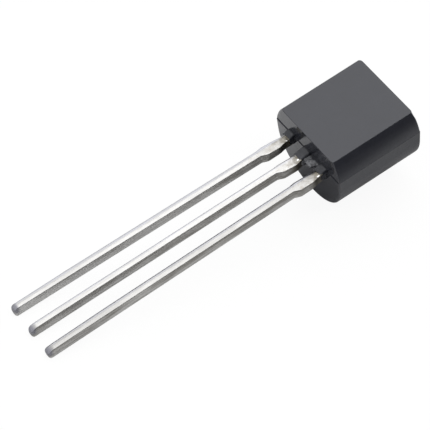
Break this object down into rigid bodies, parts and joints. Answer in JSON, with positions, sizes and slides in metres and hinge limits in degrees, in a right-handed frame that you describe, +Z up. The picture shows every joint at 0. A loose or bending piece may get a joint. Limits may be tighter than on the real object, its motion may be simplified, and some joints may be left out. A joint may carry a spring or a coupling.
{
  "type": "to-92 transistor",
  "caption": "Small-signal transistor in a moulded D-shaped plastic case, with a row of straight tinned leads that have wider shoulders near the case.",
  "frame": {"origin": "on the table, under the middle of the part's box", "axes": "+X along the lead row from the lead tips towards the case, +Z up with the flat face turned up, +Y across the leads towards the emitter lead"},
  "size_m": [0.019, 0.0046, 0.0046],
  "materials": {
    "moulding_compound": "dark grey moulded epoxy, lightly glossy",
    "tinned_lead": "solder-dipped copper alloy, bright with fine mottling",
    "silicon": "polished silicon",
    "solder": "solder layer",
    "gold_wire": "drawn gold wire"
  },
  "bodies": {
    "root": {"moulded_case": "moulding_compound", "emitter_lead": "tinned_lead", "base_lead": "tinned_lead", "collector_lead": "tinned_lead", "silicon_die": "silicon", "die_attach": "solder", "base_bond_wire": "gold_wire", "emitter_bond_wire": "gold_wire"}
  },
  "joints": []
}
